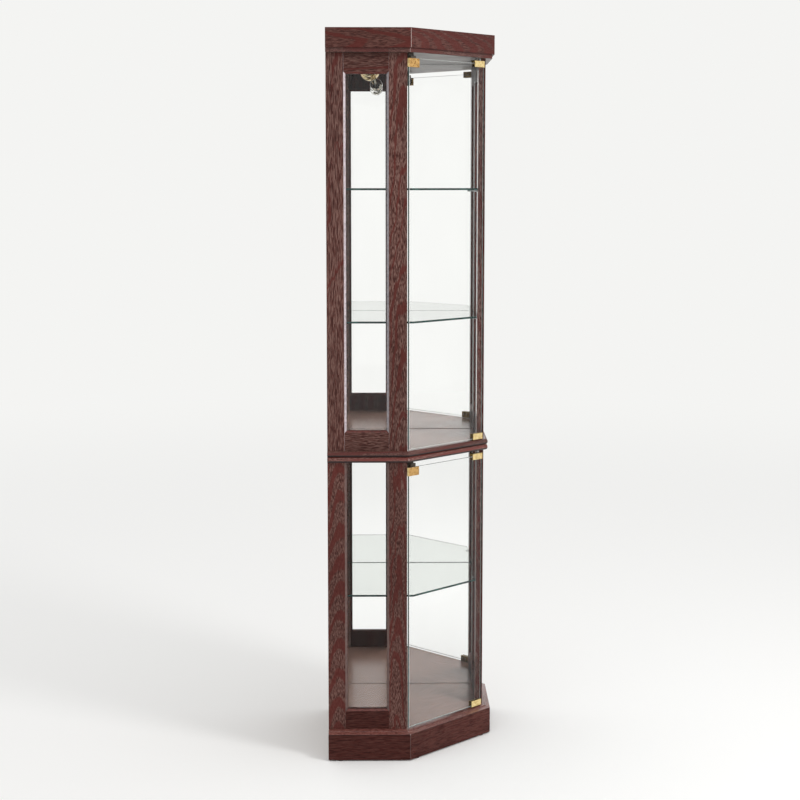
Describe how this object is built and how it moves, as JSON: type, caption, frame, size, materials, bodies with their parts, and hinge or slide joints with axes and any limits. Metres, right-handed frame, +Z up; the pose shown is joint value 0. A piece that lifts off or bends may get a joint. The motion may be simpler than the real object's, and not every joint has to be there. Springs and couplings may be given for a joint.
{
  "type": "corner curio cabinet",
  "caption": "Tall five-sided corner display cabinet in dark wood with mirrored back, glass shelves, glazed sides, frameless glass doors on pivot hinges and a lamp.",
  "frame": {"origin": "on the floor, under the middle of the cabinet's bounding box", "axes": "+Z up, the doors face -Y, the room corner is at +Y, +X to the right seen from the front"},
  "size_m": [0.6004, 0.4474, 1.829],
  "materials": {
    "mahogany": "dark mahogany stain, satin lacquer, open grain",
    "back_board": "stained board, matt",
    "clear_glass": "clear float glass, ground edges",
    "mirror": "silvered mirror glass",
    "brass": "polished and lacquered",
    "steel": "zinc plated",
    "latch_plastic": "moulded, matt",
    "glide_plastic": "moulded, matt",
    "bushing_plastic": "moulded, matt",
    "bulb_glass": "clear bulb glass"
  },
  "bodies": {
    "cabinet": {"glides": "glide_plastic", "plinth_left": "mahogany", "plinth_right": "mahogany", "plinth_front": "mahogany", "plinth_back_rails": "back_board", "lower_deck": "mahogany", "lower_top_board": "mahogany", "upper_deck": "mahogany", "ceiling_board": "mahogany", "crown_left": "mahogany", "crown_right": "mahogany", "crown_front": "mahogany", "crown_back_rails": "back_board", "crown_top": "back_board", "upper_rear_stile_left": "mahogany", "upper_rear_stile_right": "mahogany", "upper_front_stile_left": "mahogany", "upper_front_stile_right": "mahogany", "upper_bottom_rail_left": "mahogany", "upper_bottom_rail_right": "mahogany", "lower_rear_stile_left": "mahogany", "lower_rear_stile_right": "mahogany", "lower_front_stile_left": "mahogany", "lower_front_stile_right": "mahogany", "lower_bottom_rail_left": "mahogany", "lower_bottom_rail_right": "mahogany", "upper_top_rail_left": "mahogany", "upper_top_rail_right": "mahogany", "upper_pane_left": "clear_glass", "upper_pane_right": "clear_glass", "lower_pane_left": "clear_glass", "lower_pane_right": "clear_glass", "glass_stops_left": "mahogany", "glass_stops_right": "mahogany", "lower_back_boards": "back_board", "lower_mirror_left": "mirror", "lower_mirror_right": "mirror", "upper_back_boards": "back_board", "upper_mirror_left": "mirror", "upper_mirror_right": "mirror", "lower_shelf": "clear_glass", "upper_shelf_low": "clear_glass", "upper_shelf_high": "clear_glass", "shelf_supports": "steel", "pivot_bushings": "bushing_plastic", "latch_housings": "latch_plastic", "lamp_holder": "brass", "lamp_bulb": "bulb_glass"},
    "upper_door": {"upper_door_glass": "clear_glass", "upper_door_bottom_clamp": "brass", "upper_door_top_clamp": "brass", "upper_door_hinge_pins": "steel", "upper_door_strike": "brass"},
    "lower_door": {"lower_door_glass": "clear_glass", "lower_door_bottom_clamp": "brass", "lower_door_top_clamp": "brass", "lower_door_hinge_pins": "steel", "lower_door_strike": "brass"},
    "upper_plunger": {"upper_latch_plunger": "latch_plastic"},
    "lower_plunger": {"lower_latch_plunger": "latch_plastic"}
  },
  "joints": [
    {"name": "upper_door_hinge", "type": "hinge", "parent": "cabinet", "child": "upper_door", "pos_m": [0.12354, -0.20004, 1.2815], "axis": [0, 0, 1], "range_deg": [0, 110]},
    {"name": "lower_door_hinge", "type": "hinge", "parent": "cabinet", "child": "lower_door", "pos_m": [0.12354, -0.20004, 0.42075], "axis": [0, 0, 1], "range_deg": [0, 110]},
    {"name": "upper_latch_press", "type": "slide", "parent": "cabinet", "child": "upper_plunger", "axis": [0, 1, 0], "range_m": [0, 0.003], "stiffness_N_per_m": 300, "springref_m": -0.003},
    {"name": "lower_latch_press", "type": "slide", "parent": "cabinet", "child": "lower_plunger", "axis": [0, 1, 0], "range_m": [0, 0.003], "stiffness_N_per_m": 300, "springref_m": -0.003}
  ]
}
